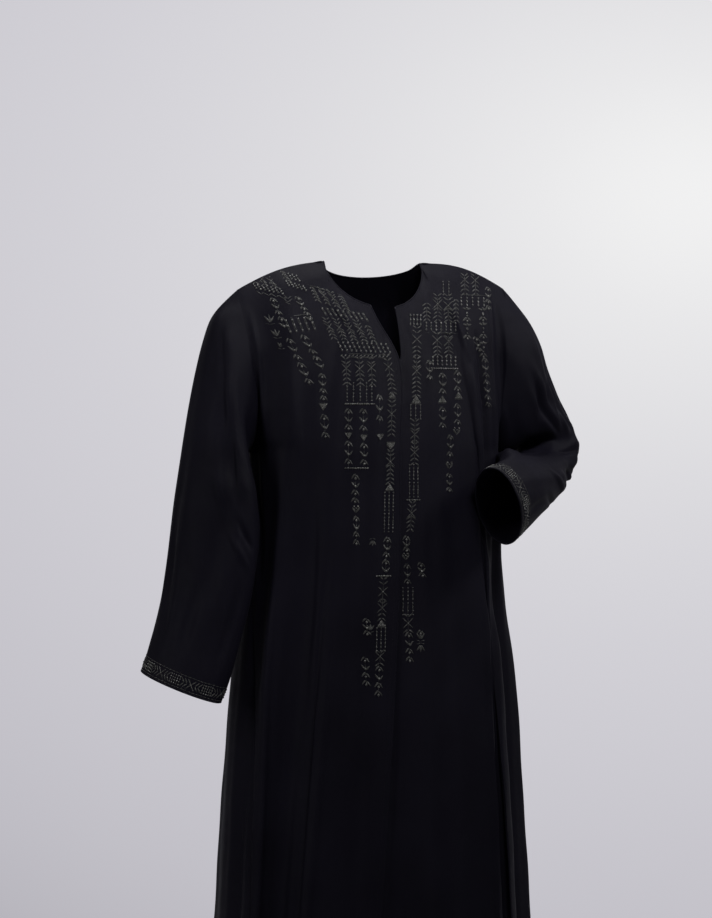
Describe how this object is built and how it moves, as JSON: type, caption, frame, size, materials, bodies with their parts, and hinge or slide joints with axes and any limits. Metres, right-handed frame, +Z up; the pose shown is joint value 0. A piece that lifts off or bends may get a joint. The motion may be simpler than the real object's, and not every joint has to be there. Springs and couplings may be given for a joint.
{
  "type": "abaya cloak",
  "caption": "Ankle-length black open-front abaya cloak with long set-in sleeves, tone-on-tone beaded geometric embroidery on chest, front edges and cuffs, in its hollow worn form.",
  "frame": {"origin": "midway between the shoulders, inside the cloak, where the wearer's shoulders carry it", "axes": "+Z up, the front faces -Y, the wearer's left is +X"},
  "size_m": [0.6795, 0.3873, 1.4298],
  "materials": {
    "right_front_crepe": "matt black crepe with a soft sheen",
    "left_front_crepe": "matt black crepe with a soft sheen",
    "back_crepe": "matt black crepe with a soft sheen",
    "right_sleeve_crepe": "matt black crepe with a soft sheen",
    "left_sleeve_crepe": "matt black crepe with a soft sheen"
  },
  "bodies": {
    "root": {"right_front": "right_front_crepe", "left_front": "left_front_crepe", "back": "back_crepe", "right_sleeve": "right_sleeve_crepe", "left_sleeve": "left_sleeve_crepe"}
  },
  "joints": []
}
